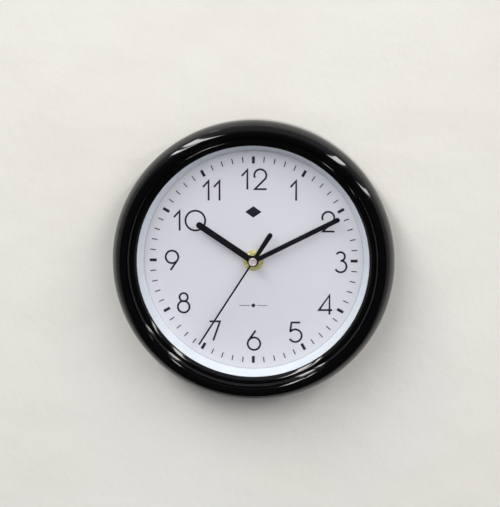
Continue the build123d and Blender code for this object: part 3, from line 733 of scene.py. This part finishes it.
def paint():
    """Pale emulsion with roller stipple, seen from the front only."""
    material = blank("wall_paint", (0.8, 0.785, 0.75), 0.62)
    vary_colour(material, noise(material, 150, 4), ((0.3, (0.80, 0.78, 0.735)), (0.7, (0.83, 0.815, 0.775))))
    bump(material, noise(material, 45, 6), 1.6)
    bump(material, noise(material, 3, 5), 0.12)
    tree = material.node_tree
    clear = tree.nodes.new("ShaderNodeBsdfTransparent")
    geometry = tree.nodes.new("ShaderNodeNewGeometry")
    mix = tree.nodes.new("ShaderNodeMixShader")
    tree.links.new(geometry.outputs["Backfacing"], mix.inputs["Fac"])
    tree.links.new(shader_of(material).outputs["BSDF"], mix.inputs[1])
    tree.links.new(clear.outputs["BSDF"], mix.inputs[2])
    tree.links.new(mix.outputs["Shader"], tree.nodes["Material Output"].inputs["Surface"])
    return material


def wall():
    """A round stretch of wall, open behind the clock so that light from behind reaches its back."""
    mesh = bpy.data.meshes.new("wall")
    count = WALL_POINTS
    turns = [2 * pi * number / count for number in range(count)]
    edges = [(radius * cos(turn), 0, radius * sin(turn)) for radius in WALL_EDGES for turn in turns]
    after = [(number + 1) % count for number in range(count)]
    faces = [(count + near, count + far, far, near) for near, far in enumerate(after)]
    mesh.from_pydata(edges, [], faces)
    mesh.materials.append(paint())
    piece = bpy.data.objects.new("wall", mesh)
    bpy.context.scene.collection.objects.link(piece)


def panel(name, clock_degrees, sideways, near, far, width, power):
    """A ceiling panel square to the wall: a long light that runs away from it."""
    turn = radians(clock_degrees)
    data = bpy.data.lights.new(name, "AREA")
    data.shape = "RECTANGLE"
    data.size = far - near
    data.size_y = width
    data.energy = power
    data.color = PANEL_COLOUR
    light = bpy.data.objects.new(name, data)
    light.location = (sideways * sin(turn), -(near + far) / 2, sideways * cos(turn))
    inward = Vector((-sin(turn), 0, -cos(turn)))
    light.rotation_euler = inward.to_track_quat("-Z", "Y").to_euler()
    bpy.context.scene.collection.objects.link(light)


def soft_light(name, location, size, power, colour):
    data = bpy.data.lights.new(name, "AREA")
    data.shape = "DISK"
    data.size = size
    data.energy = power
    data.color = colour
    light = bpy.data.objects.new(name, data)
    light.location = location
    aim = AIM - Vector(location)
    light.rotation_euler = aim.to_track_quat("-Z", "Y").to_euler()
    light.visible_glossy = False
    bpy.context.scene.collection.objects.link(light)


def smooth_rise(tree, value, start, end, low, high):
    """A smooth rise from low to high as a value goes from start to end."""
    rise = tree.nodes.new("ShaderNodeMapRange")
    rise.interpolation_type = "SMOOTHSTEP"
    rise.inputs["From Min"].default_value = start
    rise.inputs["From Max"].default_value = end
    rise.inputs["To Min"].default_value = low
    rise.inputs["To Max"].default_value = high
    tree.links.new(value, rise.inputs["Value"])
    return rise.outputs["Result"]


def room():
    """A dim room, brighter overhead and at its sides."""
    world = bpy.data.worlds.new("room")
    bpy.context.scene.world = world
    world.use_nodes = True
    tree = world.node_tree
    background = tree.nodes["Background"]
    background.inputs["Color"].default_value = (*ROOM_COLOUR, 1)
    where = tree.nodes.new("ShaderNodeTexCoord")
    apart = tree.nodes.new("ShaderNodeSeparateXYZ")
    tree.links.new(where.outputs["Generated"], apart.inputs["Vector"])
    away = tree.nodes.new("ShaderNodeMath")
    away.operation = "ABSOLUTE"
    tree.links.new(apart.outputs["X"], away.inputs[0])
    both = tree.nodes.new("ShaderNodeMath")
    overhead = smooth_rise(tree, apart.outputs["Z"], 0.15, 0.8, 0.03, 0.42)
    sides = smooth_rise(tree, away.outputs["Value"], 0.72, 0.9, 0.0, 0.4)
    tree.links.new(overhead, both.inputs[0])
    tree.links.new(sides, both.inputs[1])
    path = tree.nodes.new("ShaderNodeLightPath")
    seen = tree.nodes.new("ShaderNodeMix")
    seen.inputs["B"].default_value = BACKDROP
    tree.links.new(path.outputs["Is Camera Ray"], seen.inputs["Factor"])
    tree.links.new(both.outputs["Value"], seen.inputs["A"])
    tree.links.new(seen.outputs["Result"], background.inputs["Strength"])


def lights():
    """Bright ceiling panels, and the soft light that they spread about."""
    for row in PANELS:
        panel(*row)
    for row in SOFT_LIGHTS:
        soft_light(*row)


def tone():
    """Plain display colours, without the default film curve."""
    bpy.context.scene.view_settings.view_transform = "Standard"


def camera():
    data = bpy.data.cameras.new("camera")
    data.sensor_fit = "VERTICAL"
    data.sensor_height = SENSOR
    data.lens = SENSOR * CAMERA_AWAY / VIEW_HEIGHT
    eye = bpy.data.objects.new("camera", data)
    flat = CAMERA_AWAY * cos(CAMERA_UP)
    offset = Vector((flat * sin(CAMERA_RIGHT), -flat * cos(CAMERA_RIGHT), CAMERA_AWAY * sin(CAMERA_UP)))
    eye.location = AIM + offset
    eye.rotation_euler = (-offset).to_track_quat("-Z", "Y").to_euler()
    bpy.context.scene.collection.objects.link(eye)
    bpy.context.scene.camera = eye


camera()
dress_nodes()
print_dial_and_edge_shade()
mould_ring()
wall()
room()
lights()
tone()
